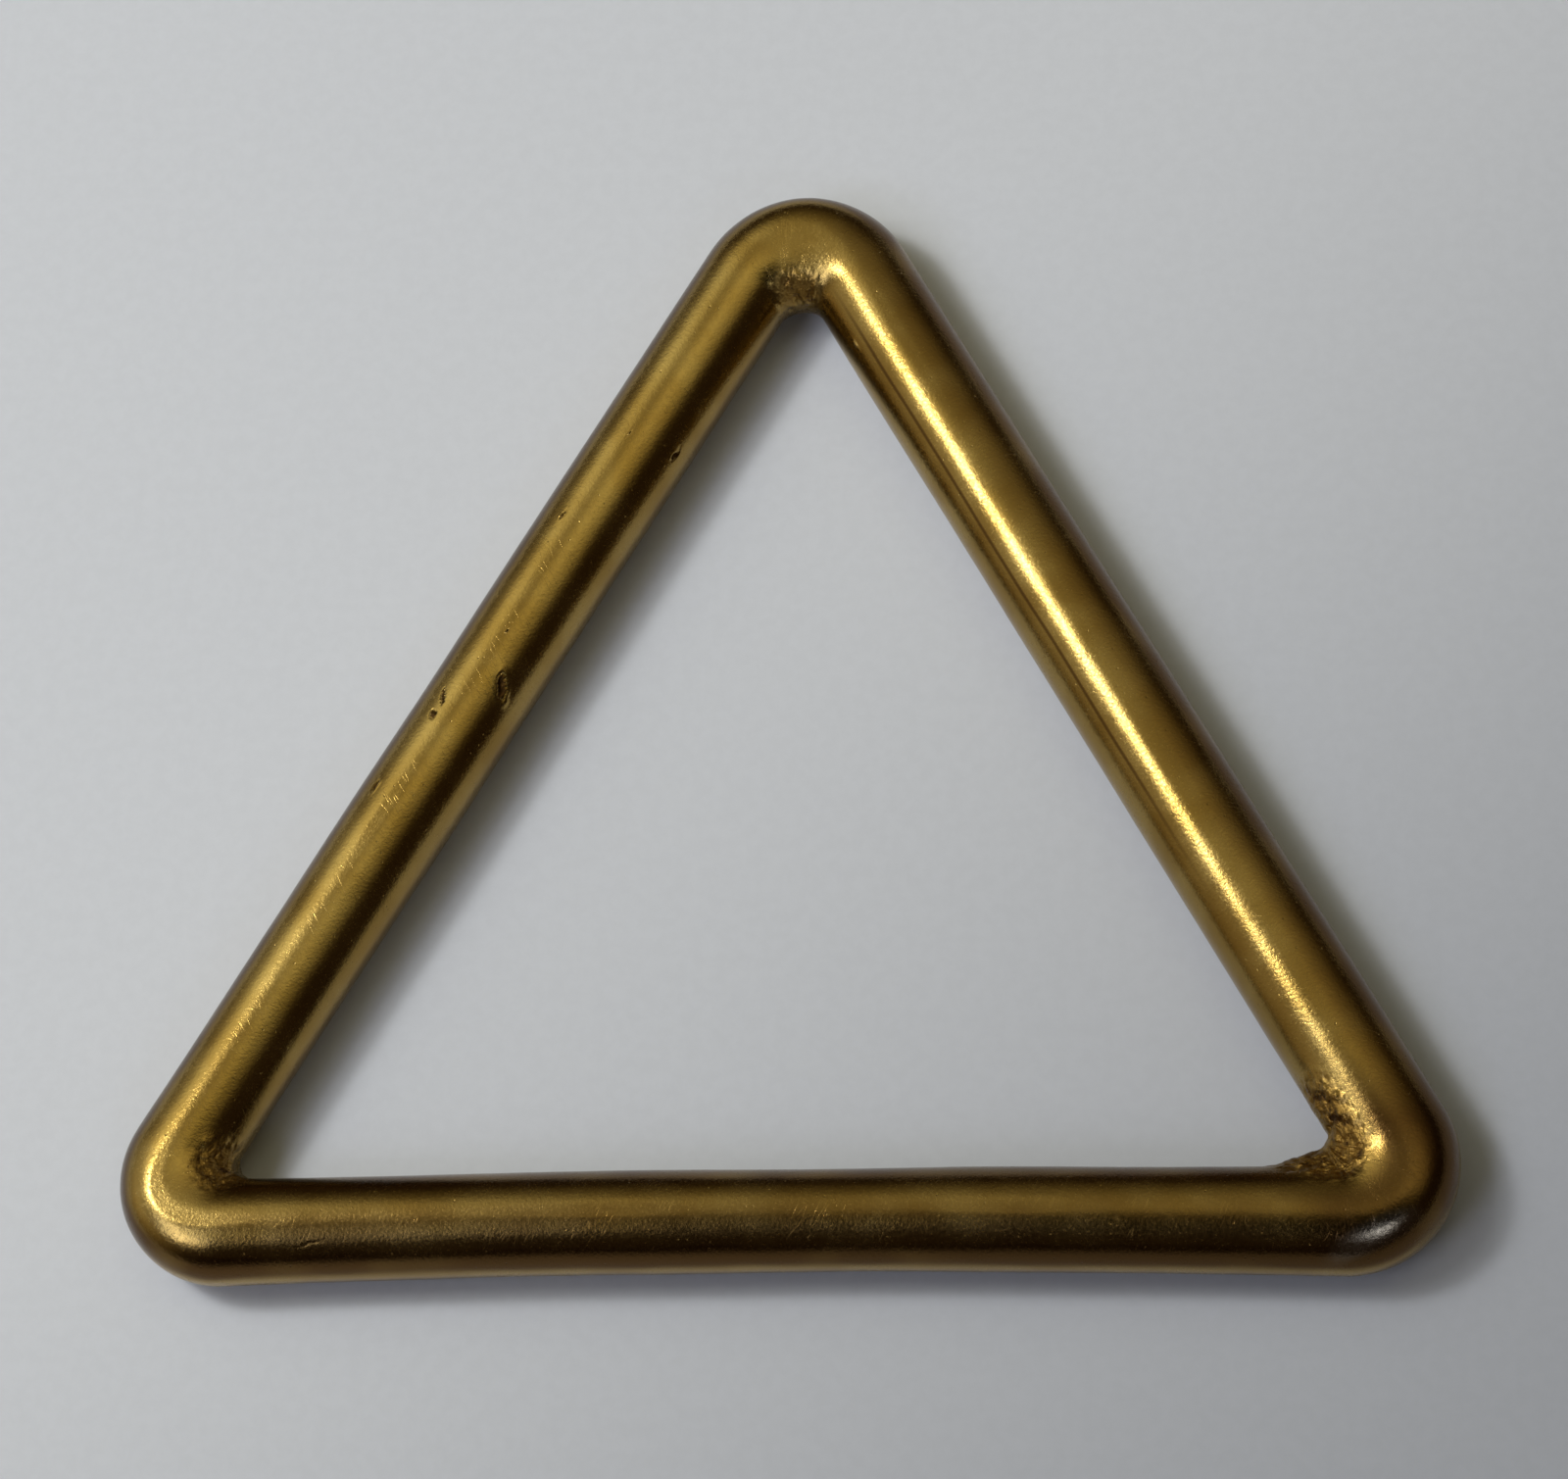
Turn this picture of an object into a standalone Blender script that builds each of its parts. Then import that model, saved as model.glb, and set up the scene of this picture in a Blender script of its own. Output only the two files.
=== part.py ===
"""Triangle strap ring: a closed loop of round brass bar, cast in one piece.

Straps fold round its three bars. The opening is an equilateral triangle with sharp inner
corners, and the outside of each corner is rounded by about one bar width. At the corners the
round bar becomes a mitred one: its crown swings outwards and the inner wall closes to a crease.
A narrow ground land along the back lets the ring lie flat.

Units are metres. +X runs along the base bar, +Y points to the apex, +Z is up, and the origin
is under the middle of the ring's box.
"""
import math

import bmesh
import bpy
from mathutils import Vector

# The opening, from the strap that lies along the inside of the base bar
STRAP_WIDTH = 0.050
STRAP_PLAY = 0.0015

# The bars, across the plane of the ring and through it
BASE_BAR_WIDTH = 0.0049
RIGHT_BAR_WIDTH = 0.0051
LEFT_BAR_WIDTH = 0.0048
BAR_THICKNESS = 0.0047

# The middle of the base bar bends into the opening and is slimmer than its ends
BASE_BAR_BOW = 0.0003
BASE_BAR_WAIST = 0.00025

# The corners: at the left end of the base bar, at its right end and at the apex
LEFT_INNER_RADIUS = 0.0005
RIGHT_INNER_RADIUS = 0.0005
APEX_INNER_RADIUS = 0.0012
LEFT_OUTER_RADIUS = 0.0049
RIGHT_OUTER_RADIUS = 0.0051
APEX_OUTER_RADIUS = 0.0055

# The share of its upright place that the crown gives up at the middle of a corner, as in a mitre
CORNER_LEAN = 0.25

# The flat along the back that the ring lies on
BACK_LAND_WIDTH = 0.0014

# How finely the round stretches are divided
CORNER_STEPS = 12
BAR_STEPS = 20
SECTION_POINTS = 25

# The finish: worn, polished brass
BRASS_COLOUR = (0.52, 0.37, 0.12, 1.0)
BRASS_ROUGHNESS = 0.28
SHARP_EDGE_ANGLE = math.radians(20)

# The bars in order round the ring, each facing outwards at its own angle
BAR_ANGLES = [math.radians(-90), math.radians(30), math.radians(150)]
BAR_WIDTHS = [BASE_BAR_WIDTH, RIGHT_BAR_WIDTH, LEFT_BAR_WIDTH]
BAR_BOWS = [BASE_BAR_BOW, 0.0, 0.0]
BAR_WAISTS = [BASE_BAR_WAIST, 0.0, 0.0]

# Each corner leads into the bar of the same place in the lists above
INNER_RADII = [LEFT_INNER_RADIUS, RIGHT_INNER_RADIUS, APEX_INNER_RADIUS]
OUTER_RADII = [LEFT_OUTER_RADIUS, RIGHT_OUTER_RADIUS, APEX_OUTER_RADIUS]

# From the middle of the opening to each of its sides
OPENING_SIDE = STRAP_WIDTH + STRAP_PLAY
OPENING_REACH = OPENING_SIDE / (2 * math.sqrt(3))


def clear_scene():
    """Remove every object, so that the ring stands alone."""
    for old in list(bpy.data.objects):
        bpy.data.objects.remove(old, do_unlink=True)


def direction(angle):
    """The level unit vector at an angle from +X."""
    return Vector((math.cos(angle), math.sin(angle), 0.0))


def meeting_point(normal_a, reach_a, normal_b, reach_b):
    """The point that lies at the given reach along each of two level normals."""
    spread = normal_a.x * normal_b.y - normal_a.y * normal_b.x
    x = (reach_a * normal_b.y - reach_b * normal_a.y) / spread
    y = (normal_a.x * reach_b - normal_b.x * reach_a) / spread
    return Vector((x, y, 0.0))


def corner_stations(corner):
    """Inner point, outer point and crown lean at each step round one corner."""
    before = corner - 1
    start, end = BAR_ANGLES[before], BAR_ANGLES[corner]
    if end < start:
        end += 2 * math.pi
    normals = direction(start), direction(end)
    inner_radius, outer_radius = INNER_RADII[corner], OUTER_RADII[corner]
    inner_reach = OPENING_REACH - inner_radius
    outer_reaches = [OPENING_REACH + BAR_WIDTHS[bar] - outer_radius for bar in (before, corner)]
    inner_centre = meeting_point(normals[0], inner_reach, normals[1], inner_reach)
    outer_centre = meeting_point(normals[0], outer_reaches[0], normals[1], outer_reaches[1])
    stations = []
    for step in range(CORNER_STEPS + 1):
        turned = step / CORNER_STEPS
        lean = CORNER_LEAN * math.sin(math.pi * turned) ** 2
        facing = direction(start + (end - start) * turned)
        stations.append((inner_centre + facing * inner_radius, outer_centre + facing * outer_radius, lean))
    return stations


def bar_stations(bar, first, last):
    """Inner point, outer point and crown lean, which is none, at each step between two corners."""
    outwards = direction(BAR_ANGLES[bar])
    stations = []
    for step in range(1, BAR_STEPS):
        along = step / BAR_STEPS
        swell = 4 * along * (1 - along)
        bow = outwards * BAR_BOWS[bar] * swell
        slimming = outwards * BAR_WAISTS[bar] * swell / 2
        inner = first[0].lerp(last[0], along) - bow + slimming
        outer = first[1].lerp(last[1], along) - bow - slimming
        stations.append((inner, outer, 0.0))
    return stations


def ring_stations():
    """All the stations once round the ring, corner by corner and bar by bar."""
    corners = [corner_stations(corner) for corner in range(3)]
    stations = []
    for bar in range(3):
        stations += corners[bar]
        stations += bar_stations(bar, corners[bar][-1], corners[(bar + 1) % 3][0])
    return stations


def section_points(inner, outer, lean):
    """The bar's round section at one station, from the land's outer edge over the crown to its inner edge.

    On a bar the lean is 0 and the section is upright. At a corner the lean moves the crown and
    the land outwards, as a mitre does.
    """
    width = (outer - inner).length
    land_angle = math.asin(BACK_LAND_WIDTH / width)
    half_height = BAR_THICKNESS / (1 + math.cos(land_angle))
    middle_height = BAR_THICKNESS - half_height
    points = []
    for step in range(SECTION_POINTS):
        angle = land_angle + (2 * math.pi - 2 * land_angle) * step / (SECTION_POINTS - 1)
        side = math.sin(angle)
        across = (1 + side) / (2 - lean + side * lean)
        point = inner.lerp(outer, across)
        point.z = middle_height - half_height * math.cos(angle)
        points.append(point)
    return points


def middle_of_box(sections):
    """The level middle of the box round all the section points."""
    points = [point for section in sections for point in section]
    lowest = Vector((min(p.x for p in points), min(p.y for p in points), 0.0))
    highest = Vector((max(p.x for p in points), max(p.y for p in points), 0.0))
    return (lowest + highest) / 2


def loft(sections, offset):
    """One closed skin through the sections, which go once round and join up."""
    bm = bmesh.new()
    loops = []
    for section in sections:
        corners = [bm.verts.new(point - offset) for point in section]
        followers = corners[1:] + corners[:1]
        loops.append([bm.edges.new(pair) for pair in zip(corners, followers)])
    for loop, next_loop in zip(loops, loops[1:] + loops[:1]):
        bmesh.ops.bridge_loops(bm, edges=loop + next_loop)
    bmesh.ops.recalc_face_normals(bm, faces=bm.faces)
    mesh = bpy.data.meshes.new("triangle_ring")
    bm.to_mesh(mesh)
    bm.free()
    mesh.shade_smooth()
    mesh.set_sharp_from_angle(angle=SHARP_EDGE_ANGLE)
    return mesh


def brass():
    """Worn, polished brass."""
    material = bpy.data.materials.new("brass")
    material.use_nodes = True
    shader = material.node_tree.nodes["Principled BSDF"]
    shader.inputs["Base Color"].default_value = BRASS_COLOUR
    shader.inputs["Metallic"].default_value = 1.0
    shader.inputs["Roughness"].default_value = BRASS_ROUGHNESS
    return material


def main():
    """Build the ring in a collection of its own."""
    clear_scene()
    parts = bpy.data.collections.new("triangle_strap_ring")
    bpy.context.scene.collection.children.link(parts)
    sections = [section_points(*station) for station in ring_stations()]
    mesh = loft(sections, middle_of_box(sections))
    mesh.materials.append(brass())
    parts.objects.link(bpy.data.objects.new("triangle_ring", mesh))


main()
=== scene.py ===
"""Dresses the triangle strap ring and lays it on a pale table top.

The ring is one brass casting. Its bars are polished and worn, its inner corners keep the rough
skin of the casting, and its surface carries the pits, dents and scratches of making and use.
Units are metres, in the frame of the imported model: +X along the base bar, +Y to the apex, +Z up.
"""

import logging
import math
from dataclasses import dataclass
from enum import Enum
from functools import cached_property, reduce
from typing import ClassVar

import bmesh
import bpy
from mathutils import Matrix, Vector, noise


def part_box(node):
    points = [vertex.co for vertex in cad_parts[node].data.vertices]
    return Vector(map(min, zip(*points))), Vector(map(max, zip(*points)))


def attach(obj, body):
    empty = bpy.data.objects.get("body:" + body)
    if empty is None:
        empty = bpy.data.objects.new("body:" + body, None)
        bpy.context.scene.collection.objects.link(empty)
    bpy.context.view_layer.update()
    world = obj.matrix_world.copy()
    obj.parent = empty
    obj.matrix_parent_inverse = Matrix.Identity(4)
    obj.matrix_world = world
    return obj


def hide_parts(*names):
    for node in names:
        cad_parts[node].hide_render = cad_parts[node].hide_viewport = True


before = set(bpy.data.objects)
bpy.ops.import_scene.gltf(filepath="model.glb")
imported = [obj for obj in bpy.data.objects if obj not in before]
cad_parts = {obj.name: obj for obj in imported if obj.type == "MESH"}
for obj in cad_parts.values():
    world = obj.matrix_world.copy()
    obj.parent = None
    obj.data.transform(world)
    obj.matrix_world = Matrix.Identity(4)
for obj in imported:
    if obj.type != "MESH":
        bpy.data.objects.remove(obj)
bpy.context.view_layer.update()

MM = 0.001
TO_MM = (1000.0, 1000.0, 1000.0)
# Starts the noise that makes the flaws' edges uneven, so that each run gives the same ring
SEED = 7
NODE = "triangle_ring"
LOG = logging.getLogger("strap_ring")

# The plain hoop that the ring is formed from, in its own units
HOOP_RADIUS = 2.0
HOOP_WELD = 1e-6

# In a corner of 60 degrees, the centre of a fillet lies this many of its radii from the tip
FILLET_CENTRE = 2.0

# The Mix node's sockets for colours
MIX_SHARE = 0
MIX_FIRST = 6
MIX_SECOND = 7
MIX_RESULT = 2

# Where a smooth change begins and where it is complete
Span = tuple[float, float]
# Waves to a unit of length, how many finer layers there are and how strong they are
Clouds = tuple[float, float, float]
# How fast the finer layers fade, how much finer each one is and how many there are
Layers = tuple[float, float, int]
Colour = tuple[float, float, float, float]
Direction = tuple[float, float, float]


def ease(value: float, start: float, end: float) -> float:
    """Rises smoothly from 0 to 1 as a value goes from start to end.

    Args:
        value: The value to place between the two.
        start: Where the rise begins; it may lie above the end.
        end: Where the rise is complete.

    Returns:
        A share from 0 to 1.
    """
    share = min(1.0, max(0.0, (value - start) / (end - start)))
    return share * share * (3 - 2 * share)


def level(angle: float) -> Vector:
    """The level unit vector at an angle from +X."""
    return Vector((math.cos(angle), math.sin(angle), 0.0))


def meeting_point(normal_a: Vector, reach_a: float, normal_b: Vector, reach_b: float) -> Vector:
    """Finds where two level lines cross.

    Args:
        normal_a: The level unit normal of the first line.
        reach_a: How far the first line lies along its normal.
        normal_b: The level unit normal of the second line.
        reach_b: How far the second line lies along its normal.

    Returns:
        The crossing point, at height 0.
    """
    spread = normal_a.x * normal_b.y - normal_a.y * normal_b.x
    x = (reach_a * normal_b.y - reach_b * normal_a.y) / spread
    y = (normal_a.x * reach_b - normal_b.x * reach_a) / spread
    return Vector((x, y, 0.0))


def place_mesh(name: str, bm: bmesh.types.BMesh) -> bpy.types.Object:
    """Makes an object of a finished form and puts it in the scene.

    Args:
        name: The object's name.
        bm: The form, which is freed.

    Returns:
        The new object.
    """
    mesh = bpy.data.meshes.new(name)
    bm.to_mesh(mesh)
    bm.free()
    placed = bpy.data.objects.new(name, mesh)
    bpy.context.scene.collection.objects.link(placed)
    return placed


class Bar(Enum):
    """The bars in order round the ring; the value is the angle that a bar's outer side faces."""

    BASE = math.radians(-90)
    RIGHT = math.radians(30)
    LEFT = math.radians(150)

    @property
    def outwards(self) -> Vector:
        """The level direction out of the ring, square to the bar."""
        return level(self.value)

    @property
    def onwards(self) -> Vector:
        """The level direction along the bar, on round the ring."""
        return level(self.value + math.pi / 2)


class Corner(Enum):
    """The corners in order round the ring; the value is the bar that leads in and the one that leads out."""

    LEFT = (Bar.LEFT, Bar.BASE)
    RIGHT = (Bar.BASE, Bar.RIGHT)
    APEX = (Bar.RIGHT, Bar.LEFT)


@dataclass(frozen=True)
class BarSizes:
    """A bar's width, how far its middle bends inwards and slims, and how dark the painted shade on its inner
    flank is.
    """

    width: float
    bow: float = 0.0
    waist: float = 0.0
    inner_shade: float = 0.3


@dataclass(frozen=True)
class CornerSizes:
    """A corner's radii, the web of metal low in its inner side and its rough skin.

    The lift is how far the inner corner of the casting lies out of its true place, in the plane
    of the ring. The rough skin is centred a distance along the bar that leads out of the corner.
    """

    inner_radius: float
    outer_radius: float
    web_radius: float
    lift: tuple[float, float]
    rough_reach: float
    rough_along: float = 0.0
    inner_lean: float = -0.1


@dataclass(frozen=True)
class RoughSizes:
    """The rough skin and the webs of the inner corners.

    The height is a share of the ring's thickness, and so is the web's depth. The tilts are in
    degrees from the crown, inwards. The core is the share of a corner's reach that is all rough.
    """

    height: float = 0.6
    tilt: Span = (20, 46)
    low_tilt: Span = (66, 92)
    low_fade: float = 0.75
    core: float = 0.5
    lump_height: float = 0.13 * MM
    lump_length: float = 0.40 * MM
    lump_layers: Layers = (0.7, 2.1, 4)
    web_reach: float = 4 * MM
    web_depth: Span = (0.86, 0.5)
    web_fade: Span = (2.5 * MM, 1.0 * MM)
    web_cone: Span = (0.5, 0.8)


@dataclass(frozen=True)
class PaintedShadeSizes:
    """How dark the painted shade is. On the flanks, the outer halves of the base and right bars and the lower
    right corner's crown it stands for dark reflections; in the pits it stands for shade.

    A bar is darkened from where its side lies out past another bar's by a span of metres. The tilts
    are in degrees from the crown, outwards, and the last one inwards.
    """

    base: float = 0.70
    base_past_left: Span = (0.0, 9 * MM)
    base_past_right: Span = (-4 * MM, 2 * MM)
    base_tilt: Span = (-45, 20)
    right: float = 0.5
    right_past_left: Span = (-2 * MM, 6 * MM)
    right_past_base: Span = (-6 * MM, 0.0)
    right_tilt: Span = (-16, 14)
    corner: float = 0.9
    corner_facing: float = math.radians(-30)
    corner_out: float = 3.2 * MM
    corner_reach: Span = (9 * MM, 3 * MM)
    corner_tilt: Span = (-35, -10)
    outer_tilt: Span = (26, 50)
    low_tilt: Span = (68, 84)
    low_fade: float = 0.75
    inner_tilt: Span = (24, 40)
    patchiness: float = 0.25
    patch_length: float = 2.5 * MM
    rough_fade: float = 0.8
    pit_shade_depth: Span = (0.015 * MM, 0.06 * MM)


@dataclass(frozen=True)
class RubbedSizes:
    """The patch on the lower right corner's shoulder where the brass colour is worn off.

    The spot is from the corner of the opening. The edge is a span of shares of the half sizes.
    """

    spot: Direction = (1.2 * MM, -3.5 * MM, 4.35 * MM)
    half_length: float = 1.9 * MM
    half_width: float = 0.6 * MM
    slope: float = 0.45
    edge: Span = (1.3, 0.2)
    most: float = 0.6


@dataclass(frozen=True)
class Flaw:
    """A pit, dent or lump at one place on a bar.

    It lies at a distance from the bar's middle, on round the ring, and at a tilt from the crown,
    in degrees, outwards. A negative depth makes a lump. The turn is from the bar's own direction.
    """

    bar: Bar
    along: float
    tilt: float
    length: float
    width: float
    depth: float
    turn: float = 0.0
    rim: float = 0.0

    # The wall and the bank round it, in shares of the half length and half width
    WALL: ClassVar[Span] = (1.05, 0.35)
    BANK_AT: ClassVar[float] = 1.15
    BANK_SPREAD: ClassVar[float] = 0.28
    # The uneven edge
    JITTER: ClassVar[float] = 0.10 * MM
    JITTER_LENGTH: ClassVar[float] = 0.35 * MM
    # How far the flaw is felt, and how far round it the mesh is finer, in lengths and a margin
    FELT: ClassVar[tuple[float, float]] = (2.0, 0.2 * MM)
    FINE: ClassVar[tuple[float, float]] = (0.75, 0.25 * MM)

    @property
    def felt_reach(self) -> float:
        """How far from its middle the flaw is felt."""
        return self.FELT[0] * self.length + self.FELT[1]

    @property
    def fine_reach(self) -> float:
        """How far from its middle the mesh is divided more finely."""
        return self.FINE[0] * self.length + self.FINE[1]

    def depth_at(self, offset_along: float, offset_round: float) -> float:
        """Finds how far the skin sinks at a place near the flaw.

        Args:
            offset_along: Distance from the flaw's middle along the bar.
            offset_round: Distance from the flaw's middle round the bar.

        Returns:
            The depth there, negative where the skin rises.
        """
        cosine, sine = math.cos(math.radians(self.turn)), math.sin(math.radians(self.turn))
        lengthways = (offset_along * cosine + offset_round * sine) / (self.length / 2)
        crossways = (offset_round * cosine - offset_along * sine) / (self.width / 2)
        away = math.hypot(lengthways, crossways)
        bank = math.exp(-(((away - self.BANK_AT) / self.BANK_SPREAD) ** 2))
        return self.depth * ease(away, *self.WALL) - self.rim * bank


@dataclass(frozen=True)
class Station:
    """One place round the ring: the ends of the section and how its inner and outer halves lean outwards."""

    inner: Vector
    outer: Vector
    inner_lean: float = 0.0
    outer_lean: float = 0.0


BAR_SIZES = {
    Bar.BASE: BarSizes(width=4.9 * MM, bow=0.3 * MM, waist=0.25 * MM, inner_shade=0.9),
    Bar.RIGHT: BarSizes(width=5.1 * MM),
    Bar.LEFT: BarSizes(width=4.8 * MM, inner_shade=0.4),
}

CORNER_SIZES = {
    Corner.LEFT: CornerSizes(
        inner_radius=0.3 * MM,
        outer_radius=4.9 * MM,
        web_radius=0.7 * MM,
        lift=(0.0, 0.0),
        rough_reach=2.6 * MM,
        rough_along=-0.6 * MM,
    ),
    Corner.RIGHT: CornerSizes(
        inner_radius=0.3 * MM,
        outer_radius=5.1 * MM,
        web_radius=0.6 * MM,
        lift=(-0.5 * MM, 0.87 * MM),
        rough_reach=3.6 * MM,
        rough_along=1.4 * MM,
    ),
    Corner.APEX: CornerSizes(
        inner_radius=1.2 * MM,
        outer_radius=5.5 * MM,
        web_radius=0.0,
        lift=(0.0, 0.0),
        rough_reach=2.3 * MM,
        inner_lean=-0.4,
    ),
}

FLAWS = (
    # Slits and pits of the left bar
    Flaw(Bar.LEFT, along=1.2 * MM, tilt=19, length=1.00 * MM, width=0.17 * MM, depth=0.14 * MM, turn=-38),
    Flaw(Bar.LEFT, along=2.2 * MM, tilt=16, length=0.55 * MM, width=0.26 * MM, depth=0.12 * MM, turn=-60),
    Flaw(Bar.LEFT, along=-0.6 * MM, tilt=-36, length=1.45 * MM, width=0.55 * MM, depth=0.15 * MM,
         turn=-35, rim=0.05 * MM),
    Flaw(Bar.LEFT, along=-14.8 * MM, tilt=-62, length=0.40 * MM, width=0.30 * MM, depth=0.16 * MM),
    Flaw(Bar.LEFT, along=-14.4 * MM, tilt=1, length=0.35 * MM, width=0.20 * MM, depth=0.04 * MM,
         rim=0.02 * MM),
    Flaw(Bar.LEFT, along=-9.3 * MM, tilt=15, length=0.40 * MM, width=0.25 * MM, depth=0.05 * MM,
         rim=0.02 * MM),
    Flaw(Bar.LEFT, along=-3.0 * MM, tilt=-5, length=0.22 * MM, width=0.18 * MM, depth=0.06 * MM),
    Flaw(Bar.LEFT, along=6.5 * MM, tilt=28, length=0.70 * MM, width=0.25 * MM, depth=0.06 * MM,
         rim=0.02 * MM),
    # Lumps of the right bar, near the apex and in the lower right corner
    Flaw(Bar.RIGHT, along=20.9 * MM, tilt=-53, length=0.60 * MM, width=0.30 * MM, depth=-0.06 * MM),
    Flaw(Bar.RIGHT, along=-22.5 * MM, tilt=-45, length=0.50 * MM, width=0.45 * MM, depth=-0.12 * MM),
    Flaw(Bar.RIGHT, along=-23.1 * MM, tilt=-37, length=0.45 * MM, width=0.40 * MM, depth=-0.10 * MM),
    Flaw(Bar.RIGHT, along=-23.8 * MM, tilt=-44, length=0.55 * MM, width=0.40 * MM, depth=-0.12 * MM),
    # Scratches of the base bar and the right bar, and a lump where the base bar meets the corner
    Flaw(Bar.BASE, along=15.5 * MM, tilt=12, length=0.90 * MM, width=0.14 * MM, depth=0.012 * MM, turn=75),
    Flaw(Bar.BASE, along=-8.2 * MM, tilt=12, length=0.80 * MM, width=0.14 * MM, depth=0.012 * MM, turn=-65),
    Flaw(Bar.BASE, along=-21.0 * MM, tilt=28, length=1.90 * MM, width=0.16 * MM, depth=0.014 * MM, turn=-14),
    Flaw(Bar.BASE, along=3.4 * MM, tilt=4, length=0.60 * MM, width=0.13 * MM, depth=0.012 * MM, turn=50),
    Flaw(Bar.RIGHT, along=-9.0 * MM, tilt=8, length=0.70 * MM, width=0.14 * MM, depth=0.012 * MM, turn=60),
    Flaw(Bar.BASE, along=23.7 * MM, tilt=-62, length=0.60 * MM, width=0.40 * MM, depth=-0.10 * MM),
)


class NodeBoard:
    """Adds and joins the nodes of one material or of the world."""

    def __init__(self, tree: bpy.types.NodeTree) -> None:
        """Takes over a node tree and empties it.

        Args:
            tree: The tree to work on.
        """
        self.tree = tree
        self.tree.nodes.clear()

    def add(self, kind: str, **settings: object) -> bpy.types.Node:
        """Adds a node.

        Args:
            kind: The node's type name, without the leading ShaderNode.
            settings: Properties to set on the node.

        Returns:
            The new node.
        """
        node = self.tree.nodes.new("ShaderNode" + kind)
        for name, value in settings.items():
            setattr(node, name, value)
        return node

    def feed(self, socket: bpy.types.NodeSocket, source: object) -> None:
        """Joins a socket to another, or sets its value.

        Args:
            socket: The input to feed.
            source: An output socket, or a plain value.
        """
        if isinstance(source, bpy.types.NodeSocket):
            self.tree.links.new(source, socket)
        else:
            socket.default_value = source

    def sum(self, operation: str, *terms: object) -> bpy.types.NodeSocket:
        """Works out one step of arithmetic.

        Args:
            operation: The Math node's operation.
            terms: Numbers or output sockets.

        Returns:
            The result's socket.
        """
        node = self.add("Math", operation=operation)
        for socket, term in zip(node.inputs, terms):
            self.feed(socket, term)
        return node.outputs[0]

    def total(self, *terms: object) -> bpy.types.NodeSocket:
        """Adds up numbers or output sockets, from first to last."""
        return reduce(lambda so_far, term: self.sum("ADD", so_far, term), terms)

    def product(self, *terms: object) -> bpy.types.NodeSocket:
        """Multiplies numbers or output sockets, from first to last."""
        return reduce(lambda so_far, term: self.sum("MULTIPLY", so_far, term), terms)

    def vector(self, operation: str, *terms: object) -> bpy.types.Node:
        """Works out one step of vector arithmetic.

        Args:
            operation: The Vector Math node's operation.
            terms: Vectors or output sockets.

        Returns:
            The node, whose outputs hold the result.
        """
        node = self.add("VectorMath", operation=operation)
        for socket, term in zip(node.inputs, terms):
            self.feed(socket, term)
        return node

    def spread(
        self, value: object, start: float, end: float, low: float = 0.0, high: float = 1.0
    ) -> bpy.types.NodeSocket:
        """Maps a value smoothly from one range to another, and holds it there.

        Args:
            value: The number or socket to map.
            start: The value that gives low.
            end: The value that gives high.
            low: The least result.
            high: The greatest result.

        Returns:
            The mapped value's socket.
        """
        node = self.add("MapRange", interpolation_type="SMOOTHSTEP")
        terms = {"Value": value, "From Min": start, "From Max": end, "To Min": low, "To Max": high}
        for name, term in terms.items():
            self.feed(node.inputs[name], term)
        return node.outputs["Result"]

    def tint(self, share: object, first: object, second: object) -> bpy.types.NodeSocket:
        """Mixes two colours.

        Args:
            share: How much of the second colour there is.
            first: A colour or socket.
            second: A colour or socket.

        Returns:
            The mixed colour's socket.
        """
        node = self.add("Mix", data_type="RGBA", blend_type="MIX")
        self.feed(node.inputs[MIX_SHARE], share)
        self.feed(node.inputs[MIX_FIRST], first)
        self.feed(node.inputs[MIX_SECOND], second)
        return node.outputs[MIX_RESULT]

    def clouds(
        self, place: bpy.types.NodeSocket, scale: float, detail: float, roughness: float
    ) -> bpy.types.NodeSocket:
        """Makes a field of soft noise.

        Args:
            place: The coordinates to read.
            scale: Waves to one unit of the coordinates.
            detail: How many finer layers there are.
            roughness: How strong the finer layers are.

        Returns:
            The noise value's socket, about 0.5 on average.
        """
        node = self.add("TexNoise", noise_dimensions="3D")
        self.feed(node.inputs["Vector"], place)
        for name, value in (("Scale", scale), ("Detail", detail), ("Roughness", roughness)):
            self.feed(node.inputs[name], value)
        return node.outputs["Fac"]


def start_material(name: str) -> tuple[bpy.types.Material, NodeBoard, bpy.types.Node]:
    """Starts a material with one plain shader.

    Args:
        name: The material's name.

    Returns:
        The material, its board and its shader.
    """
    material = bpy.data.materials.new(name)
    material.use_nodes = True
    board = NodeBoard(material.node_tree)
    shader = board.add("BsdfPrincipled")
    out = board.add("OutputMaterial")
    board.feed(out.inputs["Surface"], shader.outputs["BSDF"])
    return material, board, shader


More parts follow.
